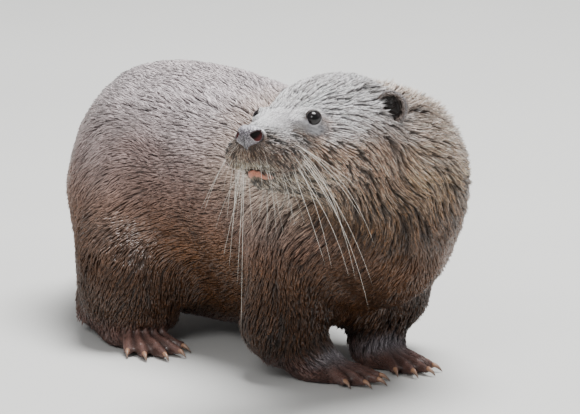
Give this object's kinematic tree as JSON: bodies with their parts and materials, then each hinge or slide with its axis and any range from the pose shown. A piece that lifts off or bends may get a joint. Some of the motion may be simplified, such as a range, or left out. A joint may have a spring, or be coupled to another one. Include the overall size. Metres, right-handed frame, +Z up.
{
  "type": "eurasian otter",
  "caption": "Life-size Eurasian otter standing with its back arched and its head turned to its right, on four webbed paws, its thick tail curled round on the floor.",
  "frame": {"origin": "on the floor, under the middle of the animal's bounding box", "axes": "+X is the way the shoulders face, +Y is the animal's left, +Z is up"},
  "size_m": [0.559, 0.4446, 0.2589],
  "materials": {
    "coat": "short dense wet fur",
    "nose_leather": "moist, finely pebbled",
    "eye": "wet gloss",
    "claw": "satin horn"
  },
  "bodies": {
    "root": {"eye_left": "eye", "ear_left": "coat", "eye_right": "eye", "ear_right": "coat", "head": "coat", "nose": "nose_leather", "neck": "coat", "trunk": "coat", "tail_base": "coat", "tail_tip": "coat", "foreleg_left": "coat", "forepaw_left": "coat", "claw_forepaw_left_1": "claw", "claw_forepaw_left_2": "claw", "claw_forepaw_left_3": "claw", "claw_forepaw_left_4": "claw", "claw_forepaw_left_5": "claw", "hindleg_left": "coat", "hindpaw_left": "coat", "claw_hindpaw_left_1": "claw", "claw_hindpaw_left_2": "claw", "claw_hindpaw_left_3": "claw", "claw_hindpaw_left_4": "claw", "claw_hindpaw_left_5": "claw", "foreleg_right": "coat", "forepaw_right": "coat", "claw_forepaw_right_1": "claw", "claw_forepaw_right_2": "claw", "claw_forepaw_right_3": "claw", "claw_forepaw_right_4": "claw", "claw_forepaw_right_5": "claw", "hindleg_right": "coat", "hindpaw_right": "coat", "claw_hindpaw_right_1": "claw", "claw_hindpaw_right_2": "claw", "claw_hindpaw_right_3": "claw", "claw_hindpaw_right_4": "claw", "claw_hindpaw_right_5": "claw"}
  },
  "joints": []
}
